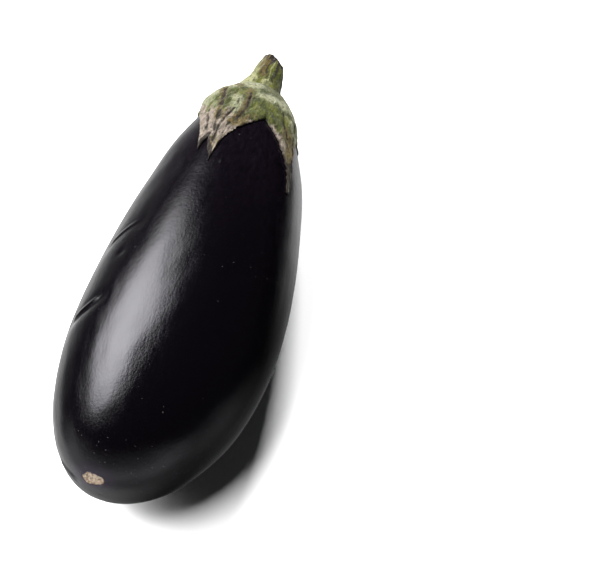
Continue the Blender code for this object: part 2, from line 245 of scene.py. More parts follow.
def tube_faces(rows, columns):
    """The quads of a tube of rings, and the triangles that close its ends on two points that come last."""
    count = rows * columns
    start = fan_faces(np.arange(columns), count)
    end = fan_faces(np.arange(count - columns, count), count + 1, flip=True)
    return grid_faces(rows, columns, closed=True, flip=True), np.concatenate([start, end])


def add_mask(mesh, label, values):
    """A float attribute with a value for each point."""
    attribute = mesh.attributes.new(label, "FLOAT", "POINT")
    attribute.data.foreach_set("value", np.ascontiguousarray(values, np.float32))


def make_piece(name, points, quads, triangles, masks, material):
    """A smooth-shaded mesh object at the origin, with its masks."""
    mesh = bpy.data.meshes.new(name)
    mesh.from_pydata(lie_down(points), [], quads.tolist() + triangles.tolist())
    for label, values in masks.items():
        add_mask(mesh, label, values)
    mesh.update()
    mesh.shade_smooth()
    mesh.materials.append(material)
    return add_object(name, mesh)


def add_object(name, data):
    item = bpy.data.objects.new(name, data)
    bpy.context.scene.collection.objects.link(item)
    return item


def dress(piece, node):
    """Puts the piece on the root body and hides the CAD node that it stands for."""
    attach(piece, "root")
    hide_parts(node)


# ---- materials


def new_material(name):
    material = bpy.data.materials.new(name)
    material.use_nodes = True
    nodes = material.node_tree.nodes
    return material, Wiring(material.node_tree), nodes["Principled BSDF"]


class Wiring:
    """Short ways to add and join nodes in one tree."""

    def __init__(self, tree):
        self.tree = tree

    def add(self, kind, label="", **settings):
        node = self.tree.nodes.new(kind)
        node.label = label
        for key, value in settings.items():
            setattr(node, key, value)
        return node

    def feed(self, socket, value):
        """Links a socket, or sets a constant on it."""
        if isinstance(value, bpy.types.NodeSocket):
            self.tree.links.new(value, socket)
        else:
            socket.default_value = value

    def math(self, operation, a, b=0.0):
        node = self.add("ShaderNodeMath", operation=operation)
        self.feed(node.inputs[0], a)
        self.feed(node.inputs[1], b)
        return node.outputs[0]

    def times(self, a, b):
        return self.math("MULTIPLY", a, b)

    def plus(self, total, *others):
        for other in others:
            total = self.math("ADD", total, other)
        return total

    def ramp(self, value, low, high, out_low=0.0, out_high=1.0):
        node = self.add("ShaderNodeMapRange", interpolation_type="SMOOTHSTEP")
        for socket, number in zip(node.inputs, (value, low, high, out_low, out_high)):
            self.feed(socket, number)
        return node.outputs[0]

    def mix(self, share, a, b):
        """One colour into another, each of them a socket or three numbers."""
        node = self.add("ShaderNodeMix", data_type="RGBA")
        self.feed(node.inputs["Factor"], share)
        for socket, value in zip((node.inputs[6], node.inputs[7]), (a, b)):
            self.feed(socket, value if isinstance(value, bpy.types.NodeSocket) else (*value, 1.0))
        return node.outputs[2]

    def noise(self, vector, scale, detail, roughness, label):
        node = self.add("ShaderNodeTexNoise", label)
        values = {"Vector": vector, "Scale": scale, "Detail": detail, "Roughness": roughness}
        for name, value in values.items():
            self.feed(node.inputs[name], value)
        return node.outputs["Fac"]

    def bump(self, shader, height, strength, label):
        """Makes the shader's surface rise by a height in metres."""
        node = self.add("ShaderNodeBump", label)
        settle(node, {"Strength": strength, "Distance": 1.0})
        self.feed(node.inputs["Height"], height)
        self.feed(shader.inputs["Normal"], node.outputs[0])

    def mask(self, name):
        return self.add("ShaderNodeAttribute", name, attribute_name=name).outputs["Fac"]

    def place(self, stretch=(1.0, 1.0, 1.0), turn=0.0):
        """Object coordinates, stretched and then turned about X."""
        coordinates = self.add("ShaderNodeTexCoord").outputs["Object"]
        mapping = self.add("ShaderNodeMapping")
        self.feed(mapping.inputs["Vector"], coordinates)
        settle(mapping, {"Scale": stretch, "Rotation": (turn, 0.0, 0.0)})
        return mapping.outputs[0]

    def along_fruit(self, stretch):
        """Object coordinates that draw a pattern out along Y, which lies near the fruit's length."""
        return self.place((1.0, stretch, 1.0), -LYING_PITCH)


def settle(node, constants):
    """Sets constants on a node's sockets."""
    for label, value in constants.items():
        node.inputs[label].default_value = value


def grain_group():
    """Fine uneven grain: small specks, and short streaks along the fruit, both 0 to 1."""
    tree = bpy.data.node_groups.new("plant_grain", "ShaderNodeTree")
    for way, names in (("INPUT", ("Speck Size", "Streak Size")), ("OUTPUT", ("Specks", "Streaks"))):
        for name in names:
            tree.interface.new_socket(name, in_out=way, socket_type="NodeSocketFloat")
    wire = Wiring(tree)
    given = wire.add("NodeGroupInput")
    out = wire.add("NodeGroupOutput")
    speck_scale = wire.math("DIVIDE", 1.0, given.outputs["Speck Size"])
    streak_scale = wire.math("DIVIDE", 1.0, given.outputs["Streak Size"])
    specks = wire.noise(wire.place(), speck_scale, 4.0, 0.6, "specks")
    streaks = wire.noise(wire.along_fruit(0.16), streak_scale, 3.0, 0.55, "streaks")
    wire.feed(out.inputs["Specks"], wire.ramp(specks, 0.30, 0.70))
    wire.feed(out.inputs["Streaks"], wire.ramp(streaks, 0.30, 0.70))
    return tree


def grain(wire, speck_size, streak_size):
    group = bpy.data.node_groups.get("plant_grain") or grain_group()
    node = wire.add("ShaderNodeGroup", "grain", node_tree=group)
    settle(node, {"Speck Size": speck_size, "Streak Size": streak_size})
    return node.outputs["Specks"], node.outputs["Streaks"]


def shade(tint, factor):
    """A colour made darker or lighter."""
    return tuple(factor * channel for channel in tint)


def skin_material(settings):
    """Waxy skin: nearly black, purple under the calyx and violet round the scar, with fine grain, faint
    fibres, pale pores and a corky scar."""
    material, wire, shader = new_material("waxy_skin")
    scar, flush, cut, halo, tail = (wire.mask(label) for label in ("scar", "flush", "cut", "halo", "tail"))
    specks, streaks = grain(wire, 0.9 * MM, 1.3 * MM)
    pores = wire.noise(wire.place(), 900.0, 1.0, 0.5, "pores")
    pores = wire.ramp(wire.plus(pores, wire.times(tail, 0.045)), 0.785, 0.81)
    crumbs = wire.ramp(wire.noise(wire.place(), 1150.0, 2.0, 0.6, "crumbs"), 0.52, 0.60)
    rim = wire.ramp(wire.math("ABSOLUTE", wire.math("SUBTRACT", scar, 0.45)), 0.30, 0.05)

    colour = wire.mix(wire.times(flush, streaks), settings.skin_colour, settings.flush_colour)
    colour = wire.mix(wire.times(halo, 0.7), colour, (0.014, 0.009, 0.020))
    colour = wire.mix(wire.times(pores, 0.35), colour, (0.10, 0.09, 0.09))
    corky = wire.mix(specks, shade(settings.scar_colour, 0.45), shade(settings.scar_colour, 1.1))
    corky = wire.mix(wire.times(crumbs, 0.8), corky, (0.09, 0.045, 0.02))
    corky = wire.mix(wire.times(rim, 0.7), corky, (0.06, 0.03, 0.015))
    wire.feed(shader.inputs["Base Color"], wire.mix(wire.ramp(scar, 0.25, 0.55), colour, corky))

    matt = wire.ramp(streaks, 0.0, 1.0, 0.13, 0.18)
    wire.feed(shader.inputs["Roughness"], wire.plus(matt, wire.times(cut, 0.10), wire.times(scar, 0.55)))
    settle(shader, {"IOR": 1.48, "Specular Tint": (0.955, 0.94, 1.0, 1.0)})

    fibres = wire.noise(wire.along_fruit(0.25), 1300.0, 3.0, 0.7, "fibres")
    coarse = wire.noise(wire.along_fruit(0.35), 620.0, 3.0, 0.6, "coarse grain")
    height = wire.plus(
        wire.times(specks, 0.034 * MM),
        wire.times(fibres, 0.15 * MM),
        wire.times(coarse, 0.035 * MM),
        wire.times(wire.times(scar, crumbs), -0.25 * MM),
    )
    wire.bump(shader, height, 0.45, "skin relief")
    return material


def leaf_material(name, settings):
    """Leafy skin that dries: green with darker blotches, pale bloomed patches that also carry painted light,
    brown strokes, grey-brown where it is dry, dark with painted shade in clefts and furrows, with freckles
    and short hairs all over."""
    material, wire, shader = new_material(name)
    # Masks: painted shade in clefts and furrows, together with the dark of dried ends and rims, and pale
    # bloomed patches that also paint light where the leaf faces the lamps.
    dry, cleft, bloom, brown = (wire.mask(label) for label in ("dry", "cleft", "bloom", "brown"))
    specks, streaks = grain(wire, 1.0 * MM, 0.8 * MM)
    blotches = wire.noise(wire.along_fruit(0.28), 260.0, 4.0, 0.65, "blotches")
    hairs = wire.noise(wire.along_fruit(0.16), 1050.0, 3.0, 0.65, "hairs")
    freckles = wire.noise(wire.along_fruit(0.7), 850.0, 3.0, 0.7, "freckles")
    freckles = wire.ramp(wire.plus(freckles, wire.times(brown, 0.07)), 0.51, 0.63)
    broken = wire.plus(
        wire.math("SUBTRACT", blotches, 0.5),
        wire.times(specks, 0.25),
        wire.times(wire.math("SUBTRACT", hairs, 0.5), 1.1),
    )

    def worn(mask, softness, low, high):
        """A mask with its edge broken up by blotches, hairs and specks."""
        return wire.ramp(wire.plus(mask, wire.times(broken, softness)), low, high)

    dried = wire.mix(streaks, shade(settings.dry_colour, 0.55), shade(settings.dry_colour, 1.2))
    colour = wire.mix(wire.ramp(blotches, 0.40, 0.68), settings.deep_colour, settings.fresh_colour)
    # Pale bloomed patches, partly painted light where the leaf faces the lamps.
    colour = wire.mix(worn(bloom, 1.0, 0.25, 0.95), colour, settings.bloom_and_light_colour)
    colour = wire.mix(worn(dry, 1.3, 0.45, 0.85), colour, dried)
    colour = wire.mix(worn(brown, 1.2, 0.30, 0.72), colour, settings.brown_colour)
    colour = wire.mix(wire.times(wire.ramp(hairs, 0.56, 0.70), 0.34), colour, (0.26, 0.26, 0.16))
    colour = wire.mix(wire.times(freckles, 0.66), colour, settings.dark_colour)
    # Painted shade in the clefts and furrows, and the dark of dried ends and rims.
    colour = wire.mix(worn(cleft, 0.8, 0.22, 0.66), colour, settings.dark_colour)
    wire.feed(shader.inputs["Base Color"], colour)
    wire.feed(shader.inputs["Roughness"], wire.ramp(specks, 0.0, 1.0, 0.55, 0.85))
    settle(shader, {"Specular IOR Level": 0.25, "Sheen Weight": 0.08, "Sheen Roughness": 0.45})
    settle(shader, {"Sheen Tint": (1.0, 1.0, 0.86, 1.0)})
    height = wire.plus(
        wire.times(streaks, 0.34 * MM), wire.times(hairs, 0.30 * MM), wire.times(freckles, -0.16 * MM)
    )
    wire.bump(shader, height, 0.75, "leaf relief")
    return material


# ---- the fruit


def crowded(start, stop, count, middle, half_width, extra):
    """Count values from start to stop, closer together round the middle by up to 1 + extra times."""
    x = np.linspace(start, stop, 4001)
    density = 1 + extra * bell(x - middle, half_width)
    run = np.concatenate([[0.0], np.cumsum(density[1:] + density[:-1])])
    return np.interp(np.linspace(0, run[-1], count), run, x)


FRUIT_ROWS, FRUIT_COLUMNS = 286, 340

# Small bumps and one dent: phi and theta in degrees, the half width and the height in mm.
BUMPS = (
    (112.8, 92.0, 0.9, 0.32),
    (109.2, 106.0, 0.6, 0.07),
    (113.7, 52.0, 0.5, 0.10),
    (82.9, 133.0, 2.0, -0.35),
)


def scar_marks(form, base):
    """The scar's relief, a rough hollow with a lip, and its masks: the scar and the halo round it."""
    centre = form.skin(SCAR_PHI, SCAR_THETA)
    lengthwise = form.skin(SCAR_PHI + 0.01, SCAR_THETA) - centre
    lengthwise = lengthwise / np.linalg.norm(lengthwise)
    offset = base - centre
    away = np.linalg.norm(offset + 0.45 * (offset @ lengthwise)[..., None] * lengthwise, axis=-1)
    edge = SCAR_RADIUS * (1 + 0.13 * wander(base, 7, 5 * MM) + 0.05 * wander(base, 8, 1.8 * MM))
    scar = smooth((edge - away) / (0.7 * MM) + 0.5)
    relief = scar * (0.10 * MM * wander(base, 9, 1.5 * MM) - 0.18 * MM)
    relief = relief - 0.35 * MM * bell(away, 4.2 * MM) + 0.12 * MM * bell(away - edge, 0.8 * MM)
    return relief, scar, bell(np.maximum(away - 3 * MM, 0), 5 * MM)


def fruit_grid(form):
    """Skin points on a grid of phi by theta, closer together at the blossom end and round the folds, with the
    poles last, and their masks."""
    share = crowded(0, 1, FRUIT_ROWS + 2, 0.474, 0.09, 1.4)[1:-1]
    phi = (math.pi * share**1.12)[:, None]
    theta = crowded(0, 2 * math.pi, FRUIT_COLUMNS + 1, radians(146), 0.40, 1.6)[None, :-1]
    base, normal = form.skin(phi, theta), form.outward(phi, theta)
    bare = smooth((radians(140) - phi) / radians(20))

    folds, cut = form.fold_relief(phi, theta)
    marks, scar, halo = scar_marks(form, base)
    relief = folds + marks
    relief = relief + 0.16 * MM * bare * wander(base * (1, 0.6, 1), 3, 26 * MM)
    relief = relief + 0.030 * MM * bare * wander(base * (1, 0.5, 1), 4, 7 * MM)
    for at_phi, at_theta, half_width, height in BUMPS:
        spot = form.skin(radians(at_phi), radians(at_theta))
        relief = relief + height * MM * bell(np.linalg.norm(base - spot, axis=-1), half_width * MM)

    flush = smooth((phi - radians(88)) / radians(42)) + 0 * theta
    tail = smooth((radians(40) - phi) / radians(14)) + 0 * theta
    points = (base + relief[..., None] * normal).reshape(-1, 3)
    poles = form.skin(np.array([0.0, math.pi]), 0.0)
    masks = {"scar": scar, "flush": flush, "cut": cut, "halo": halo, "tail": tail}
    masks = {label: np.concatenate([values.ravel(), [0.0, 1.0]]) for label, values in masks.items()}
    return np.concatenate([points, poles]), masks


def flattened(points):
    """The points, with all that lies under the floor pressed up to it along the floor's normal."""
    up = np.array([0.0, math.sin(LYING_PITCH), math.cos(LYING_PITCH)])
    under = np.maximum(-LYING_PLACE[2] - points @ up, 0.0)
    return points + under[:, None] * up


def build_fruit(form, settings):
    points, masks = fruit_grid(form)
    faces = tube_faces(FRUIT_ROWS, FRUIT_COLUMNS)
    piece = make_piece("fruit_skin", flattened(points), *faces, masks, skin_material(settings))
    dress(piece, "fruit")


# ---- the calyx

CAP_ROWS, LOBE_ROWS, LOBE_COLUMNS = 38, 66, 72

# How much sooner (or, if negative, later) each lobe narrows, on which side, and how far its end is dark.
SLIMMER, FULLER = (0.6, -0.35, 0.0, 0.0, 0.0), (-1, 1, 1, 1, 1)
DARK_ENDS = (20 * MM, 5 * MM, 5 * MM, 5 * MM, 5 * MM)

# Marks on the calyx: a line through points, each an arc from the shoulder pole in mm and an angle in degrees,
# the mark's half width in mm, and its strength.
# The clefts sink into the leaf and are also painted dark, as shade.
CLEFTS = (
    (((28, 124), (37, 116), (44, 112), (51, 110), (58, 107)), 0.9, 1.0),
    (((27, 91), (35, 89), (41, 89), (46, 92), (52, 98), (58, 100)), 0.6, 0.9),
    (((41, 100), (48, 104), (56, 105), (64, 104)), 0.6, 0.9),
    (((44, 124), (52, 118), (60, 112)), 0.6, 0.8),
    (((36, 100), (44, 96), (49, 92)), 0.4, 0.6),
    (((34, 34), (42, 35), (50, 37), (60, 37)), 0.6, 0.9),
    (((30, 52), (38, 49), (46, 44)), 0.4, 0.6),
    (((24, 168), (34, 178), (42, 192), (50, 204)), 0.9, 0.9),
    (((26, 205), (36, 212), (42, 210)), 0.6, 0.8),
    (((24, 236), (38, 244), (50, 250), (62, 251)), 0.8, 1.0),
    (((28, 266), (38, 262), (48, 256)), 0.6, 0.8),
    (((26, 306), (38, 310), (50, 313)), 0.8, 0.9),
    (((28, 336), (36, 330), (44, 322)), 0.6, 0.8),
)

# Where the calyx stands higher or lower than the plain cap: height in mm, middle in degrees, half width in
# radians, and middle arc and half length in mm.
SWELLINGS = (
    (1.9, 140, 0.48, 32, 11),
    (-1.0, 150, 0.80, 14, 7),
    (1.3, 42, 0.50, 31, 9),
    (-1.0, 178, 0.45, 34, 8),
    (-1.1, 356, 0.42, 33, 9),
)

# Pale bloomed strokes, partly painted light where the calyx faces the lamps; they also swell the leaf.
BLOOMS_AND_LIGHT = (
    (((28, 79), (28, 64), (28, 50), (30, 38), (34, 26)), 4.0, 1.05),
    (((33, 52), (38, 40), (44, 30)), 2.6, 0.8),
    (((18, 140), (30, 138), (40, 137)), 4.2, 0.9),
    (((19, 92), (21, 112), (25, 122)), 4.0, 1.0),
    (((34, 101), (43, 97)), 3.0, 0.8),
    (((40, 118), (46, 114)), 2.0, 0.7),
    (((42, 55), (50, 48)), 3.0, 0.55),
    (((20, 190), (30, 192)), 5.0, 0.9),
    (((20, 250), (34, 252), (46, 252)), 4.0, 0.9),
    (((20, 320), (32, 318)), 4.5, 0.9),
)

BROWNS = (
    (((27, 124), (36, 117), (44, 112), (49, 110)), 1.7, 1.0),
    (((25, 93), (30, 90), (40, 90), (46, 93), (51, 97)), 1.7, 1.0),
    (((43, 80), (47, 88), (51, 95)), 2.2, 0.9),
    (((22, 118), (24, 108)), 2.0, 0.8),
    (((42, 46), (50, 40), (62, 41)), 3.0, 0.8),
    (((26, 166), (36, 180), (44, 194)), 2.2, 0.9),
    (((24, 236), (36, 243), (48, 250)), 2.2, 0.9),
    (((26, 306), (38, 310), (48, 313)), 2.2, 0.9),
)

GREENS = (
    (((31, 80), (38, 76), (45, 80)), 4.5, 1.0),
    (((33, 58), (38, 52), (43, 46)), 3.5, 0.8),
    (((30, 150), (36, 160)), 4.0, 1.0),
    (((28, 222), (34, 228)), 5.0, 1.0),
    (((28, 286), (34, 292)), 5.0, 1.0),
    (((28, 356), (34, 6)), 4.0, 1.0),
)


# One lobe on a grid: the arc from the shoulder pole, theta, v, which runs -1 to 1 across the lobe, outness,
# which runs 0 to 1 over the cap and 1 to 2 over the free lobe, and the distances to the side and to the end.
Sheet = namedtuple("Sheet", "arc theta v outness side end")


def lobe_sheet(form, index):
    """A lobe by rows from the stalk's foot to the tip. Its free part narrows as a power of what is left."""
    lobe, following = LOBES[index], (index + 1) % len(LOBES)
    high = LOBES[following].notch + (360 if following == 0 else 0)
    v = np.linspace(-1, 1, LOBE_COLUMNS + 1)
    ring_theta = np.radians(lobe.notch + (high - lobe.notch) * (v + 1) / 2)
    notch = NOTCH_ARC[index] + (NOTCH_ARC[following] - NOTCH_ARC[index]) * (v + 1) / 2
    ring_arc = notch * (1 + LOBE_SWELL * (1 - v**2))
    cap = np.linspace(0, 1, CAP_ROWS + 1)[:, None]
    free = np.linspace(0, 1, LOBE_ROWS + 1)[1:, None]
    tip_radius = form.radius(np.interp(lobe.reach, form.arcs, form.arc_phis))
    tip_theta = radians(lobe.tip) + (1.3 * v - 0.3 * v**3) * 1.08 * lobe.half_width / tip_radius
    spread = (1 - free) ** (lobe.taper * (1 + SLIMMER[index] * smooth(FULLER[index] * v)))
    theta = np.concatenate([ring_theta + 0 * cap, spread * ring_theta + (1 - spread) * tip_theta])

    points_reach = lobe.reach - lobe.short * smooth((v + 0.2) / 0.4)
    across = np.interp(v, [-1, -0.5, 0.2, 0.5, 1], [-1, -0.5, 0, 0.5, 1])
    depth = np.where(np.abs(across) < 0.5, 0.75, 1.35) * lobe.split
    end_arc = points_reach - depth * np.abs(2 * np.abs(across) - 1) ** np.where(across > 0.5, 0.9, 0.5)
    cap_arc = JOINT_RADIUS + (ring_arc - JOINT_RADIUS) * cap
    arc = np.concatenate([cap_arc, (1 - free) * ring_arc + free * end_arc])
    outness = np.concatenate([cap, 1 + free]) + 0 * v
    half = form.radius(np.interp(arc, form.arcs, form.arc_phis)) * (theta[:, -1:] - theta[:, :1]) / 2
    side = (1 - np.abs(v)) * half + np.maximum(1 - outness, 0) * 30 * MM
    return Sheet(arc, theta, v + 0 * outness, outness, side, np.maximum(end_arc - arc, 0))


def frayed(form, sheet, index):
    """The sheet with its free sides drawn in and out at random."""
    spot = form.above(sheet.arc, sheet.theta, 0 * sheet.arc)
    margin = np.sign(sheet.v) * np.abs(sheet.v) ** 6
    margin = margin * smooth((sheet.outness - 1) * 6) * smooth((2 - sheet.outness) * 5)
    tears = 0.016 * wander(spot, 40 + index, 3.0 * MM) + 0.015 * wander(spot, 45 + index, 1.3 * MM)
    return sheet._replace(theta=sheet.theta + margin * tears)


def strokes(form, sheet, marks):
    """The strongest of the marks' bells of the distance, over the skin, to each mark's line."""
    radius = form.radius(np.interp(sheet.arc, form.arcs, form.arc_phis))
    strength = np.zeros(sheet.arc.shape)
    for path, half_width, weight in marks:
        nearest = np.full(sheet.arc.shape, np.inf)
        for (arc_a, theta_a), (arc_b, theta_b) in zip(path, path[1:]):
            here = np.stack([sheet.arc - arc_a * MM, radius * turned(sheet.theta, radians(theta_a))], -1)
            turn = turned(radians(theta_b), radians(theta_a))
            line = np.stack([(arc_b - arc_a) * MM + 0 * sheet.arc, radius * turn], -1)
            share = np.clip((here * line).sum(-1) / (line * line).sum(-1), 0, 1)
            nearest = np.minimum(nearest, np.linalg.norm(here - share[..., None] * line, axis=-1))
        strength = np.maximum(strength, weight * bell(nearest, half_width * MM))
    return strength


def calyx_heights(sheet, base, lift, thickness, clefts, blooms_and_light):
    """Heights of the under side and the top: a collar, a midrib, swellings, clefts, and dry crumpling."""
    free = np.clip(sheet.outness - 1, 0, 1)
    ragged = np.abs(sheet.v) ** 4 * smooth(free * 2)
    under = 0.12 * MM + 0.25 * MM * ragged * smooth(2 - 2 * free) + lift * free**2
    body = thickness * (1 - 0.5 * smooth(free * 1.3))
    midrib = 0.5 * MM * (1 - free**2) * smooth(sheet.outness * 2) * bell(sheet.v, 0.2)
    collar = COLLAR_HEIGHT * np.exp(-(sheet.arc - JOINT_RADIUS) / COLLAR_SPREAD)
    thin = np.exp(-sheet.side / (1.6 * MM)) * smooth((sheet.outness - 0.7) / 0.5)
    onward = smooth((sheet.outness - 0.3) / 0.6)
    crumple = 0.34 * MM * onward * wander(base * (1, 0.4, 1), 20, 4.5 * MM)
    wrinkle = 0.16 * MM * wander(base * (1, 0.25, 1), 30, 1.9 * MM) * (0.4 + 0.6 * onward)
    swell = 0.45 * MM * blooms_and_light
    for height, middle, breadth, reach, length in SWELLINGS:
        around = bell(turned(sheet.theta, radians(middle)), breadth)
        swell = swell + height * MM * around * bell(sheet.arc - reach * MM, length * MM)
    top = under + (1 - thin) * (body + midrib) + thin * 0.40 * MM + collar
    top = top + (1 - thin) * (crumple + wrinkle - 0.8 * MM * clefts) + swell * (1 - 0.7 * thin)
    return under, np.maximum(top, under + 0.28 * MM)


def calyx_masks(form, sheet, base, clefts, blooms_and_light, dark_end):
    """How dry, bloomed, brown and dark a lobe is, with painted shade in its clefts and painted light where it
    is bloomed.
    It is drier at its sides and end, and dark along them.
    """
    mottle = 0.30 * wander(base * (1, 0.4, 1), 50, 6 * MM) + 0.16 * wander(base * (1, 0.4, 1), 60, 2 * MM)
    greens, browns = strokes(form, sheet, GREENS), strokes(form, sheet, BROWNS)
    fringe = np.exp(-sheet.side / (2.6 * MM)) * smooth((sheet.outness - 0.85) / 0.3)
    dry = (sheet.outness - 1.02) / 0.42 + 0.6 * fringe + mottle - 0.55 * greens
    dark = 0.35 * np.exp(-sheet.side / (0.5 * MM)) * smooth((sheet.outness - 0.9) * 4) * (1 + mottle)
    dark = dark + smooth(1.4 - 1.4 * sheet.end / dark_end) * (1 + 0.4 * mottle)
    # Pale bloomed patches, partly painted light where the calyx faces the lamps, and paler over the cap.
    bloom = 0.9 * blooms_and_light + 0.25 * (1 - sheet.outness) - 0.8 * greens + 0.5 * mottle
    return {
        "dry": smooth(dry + smooth(2 - sheet.end / (7 * MM))),
        # Painted shade in the clefts, with the dark sides and ends.
        "cleft": np.clip(0.85 * clefts + dark, 0, 1),
        "bloom": np.clip(bloom, -0.5, 1),
        "brown": np.clip(0.85 * browns + 0.6 * mottle - 0.4 * greens, 0, 1),
    }


def build_calyx(form, settings):
    tops, unders, masks = [], [], []
    for index, lobe in enumerate(LOBES):
        sheet = frayed(form, lobe_sheet(form, index), index)
        base = form.above(sheet.arc, sheet.theta, 0 * sheet.arc)
        stray = 0.95 + 0.55 * wander(base * (1, 0.5, 1), 55, 3 * MM)
        clefts = np.clip(strokes(form, sheet, CLEFTS) * stray, 0, 1) * smooth((sheet.outness - 0.3) / 0.4)
        blooms_and_light = strokes(form, sheet, BLOOMS_AND_LIGHT)
        under, top = calyx_heights(sheet, base, lobe.lift, settings.thickness, clefts, blooms_and_light)
        tops.append(form.above(sheet.arc, sheet.theta, top))
        unders.append(form.above(sheet.arc, sheet.theta, under))
        masks.append(calyx_masks(form, sheet, base, clefts, blooms_and_light, DARK_ENDS[index]))
    masks = {label: [of_lobe[label] for of_lobe in masks] for label in masks[0]}
    join_calyx(form, tops, unders, masks, settings)


def join_calyx(form, tops, unders, masks, settings):
    """Averages neighbouring lobes over the cap, then joins the lobes' tops, under sides, edges and middle."""
    cap = slice(CAP_ROWS + 1)
    for layers in (tops, unders, *masks.values()):
        for layer, following in zip(layers, layers[1:] + layers[:1]):
            mean = (layer[cap, -1] + following[cap, 0]) / 2
            layer[cap, -1], following[cap, 0] = mean, mean
    level = np.mean([top[0, :-1, 1] for top in tops])
    for top in tops:
        top[0, :, 1] = level

    rows, columns = tops[0].shape[:2]
    block = rows * columns
    count = 2 * block * len(tops)
    quads, rims = [], []
    for start in range(0, count, 2 * block):
        upper = start + np.arange(block).reshape(rows, columns)
        lower = upper + block
        quads.append(grid_faces(rows, columns, closed=False) + start)
        quads.append(grid_faces(rows, columns, closed=False, flip=True) + start + block)
        quads.append(wall_faces(upper[CAP_ROWS:, 0], lower[CAP_ROWS:, 0]))
        quads.append(wall_faces(lower[CAP_ROWS:, -1], upper[CAP_ROWS:, -1]))
        quads.append(wall_faces(upper[-1], lower[-1]))
        rims.append(upper[0, :-1])
    rim = np.concatenate(rims)
    triangles = np.concatenate([fan_faces(rim, count, flip=True), fan_faces(rim + block, count + 1)])

    middle = [[0.0, level - 0.6 * MM, 0.0], form.skin(math.pi, 0.0) + [0.0, 0.12 * MM, 0.0]]
    points = np.concatenate([np.stack([tops, unders], 1).reshape(-1, 3), middle])
    masks = {
        label: np.concatenate([np.stack([layers, layers], 1).ravel(), [0.0, 0.0]])
        for label, layers in masks.items()
    }
    material = leaf_material("drying_leaf", settings)
    piece = make_piece("calyx_leaf", points, np.concatenate(quads), triangles, masks, material)
    merge_seams(piece)
    dress(piece, "calyx")


def merge_seams(piece):
    """Welds the points that neighbouring lobes share."""
    mesh = bmesh.new()
    mesh.from_mesh(piece.data)
    bmesh.ops.remove_doubles(mesh, verts=mesh.verts, dist=1e-6)
    bmesh.ops.recalc_face_normals(mesh, faces=mesh.faces)
    mesh.to_mesh(piece.data)
    mesh.free()
    piece.data.shade_smooth()


# ---- the stalk


STALK_ROWS, STALK_COLUMNS = 90, 200

# Where the stalk's foot is, as a share of its length, how far its end leans towards +X and +Z, and the cut:
# the side on which it stands highest, how deep its face dips, and its rings.
STALK_FOOT, STALK_LEAN = -0.28, (1.2 * MM, 0.5 * MM)
CUT_THETA, CUT_DIP, CUT_RINGS = radians(128), 0.9 * MM, 12


def stalk_wall(form, settings, theta, share, spot, level):
    """Rings up a tapering stem that flares at its foot, with ribs, a bulge on one side, and a lean."""
    grown = np.clip(share, 0, 1)
    foot = form.radius(np.interp(JOINT_RADIUS, form.arcs, form.arc_phis)) + 0.25 * MM
    radius = foot + (settings.end_radius - foot) * (0.25 * smooth(grown * 2) + 0.75 * grown)
    flare = 1.6 + 1.3 * bell(turned(theta, radians(150)), 0.9) - 0.5 * bell(turned(theta, 0.0), 0.8)
    radius = radius + flare * MM * np.exp(-(share - STALK_FOOT) / 0.34)
    radius = radius + 0.9 * MM * bell(turned(theta, radians(8)), 0.7) * bell(grown - 0.5, 0.30)
    ribs = sum(bell(turned(theta, middle), 0.26) for middle in LOBE_MIDDLES)
    small = 0.5 * np.sin(11 * theta + 1.3) + 0.35 * np.sin(17 * theta + 3 * grown)
    rough = 0.16 * MM * wander(spot * (1, 0.35, 1), 71, 3.2 * MM) + 0.07 * MM * wander(spot, 72, 1.2 * MM)
    radius = radius * (1 + (0.085 * (ribs - 0.45) + 0.018 * small) * smooth(grown * 4 + 0.15)) + rough
    rise = share * (settings.length + settings.slant * np.cos(theta - CUT_THETA))
    rise = rise + 0.22 * MM * wander(spot * (1, 0, 1), 73, 2.5 * MM) * smooth((grown - 0.7) / 0.3)
    x, z = (lean * grown**2 for lean in STALK_LEAN)
    return np.stack([x + radius * np.cos(theta), level + rise, z + radius * np.sin(theta)], -1)


def cut_face(rim):
    """Rings from the rim of the cut towards its centre. They dip as 1 - r^2, where r is 1 on the rim."""
    inward = np.linspace(1, 0, CUT_RINGS + 2)[1:-1, None]
    centre = rim.mean(0)
    face = centre + (rim - centre)[None] * inward[..., None]
    dip = CUT_DIP * (1 - inward**2) + 0.12 * MM * wander(face * (1, 0, 1), 74, 1.6 * MM)
    return face - np.stack([0 * dip, dip, 0 * dip], -1)


